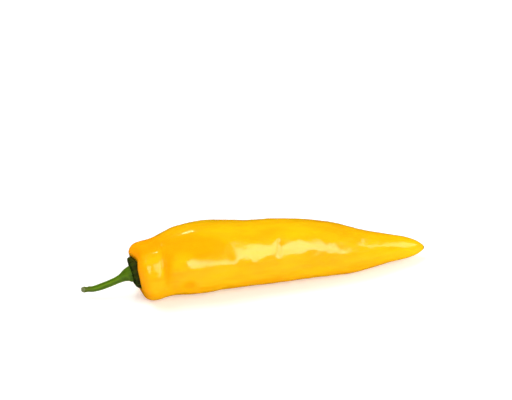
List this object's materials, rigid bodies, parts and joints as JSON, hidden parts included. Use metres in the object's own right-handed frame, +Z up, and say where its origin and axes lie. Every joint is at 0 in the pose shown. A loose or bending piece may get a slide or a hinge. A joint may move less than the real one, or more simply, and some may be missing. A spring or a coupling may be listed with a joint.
{
  "type": "pointed sweet pepper",
  "caption": "Long pointed sweet pepper lying on its side: a smooth tapered fruit with a rounded shoulder, a toothed green calyx and a bent, cut stalk.",
  "frame": {"origin": "middle of the flat spot on the underside that the pepper rests on", "axes": "+X along the pepper from the stalk to the pointed tip, +Z up, away from the surface that it lies on, and -Y towards the side that the picture shows"},
  "size_m": [0.2178, 0.0445, 0.0439],
  "materials": {
    "pod_skin": "glossy waxy yellow skin, deeper orange yellow in the furrows and dents and lemon yellow at the tip",
    "calyx_green": "dull dark green, finely ribbed, paler along its toothed edge",
    "stalk_green": "satin bright green with paler ridges, olive towards its cut end, which is pale grey green"
  },
  "bodies": {
    "root": {"pod": "pod_skin", "calyx": "calyx_green", "stalk": "stalk_green"}
  },
  "joints": []
}
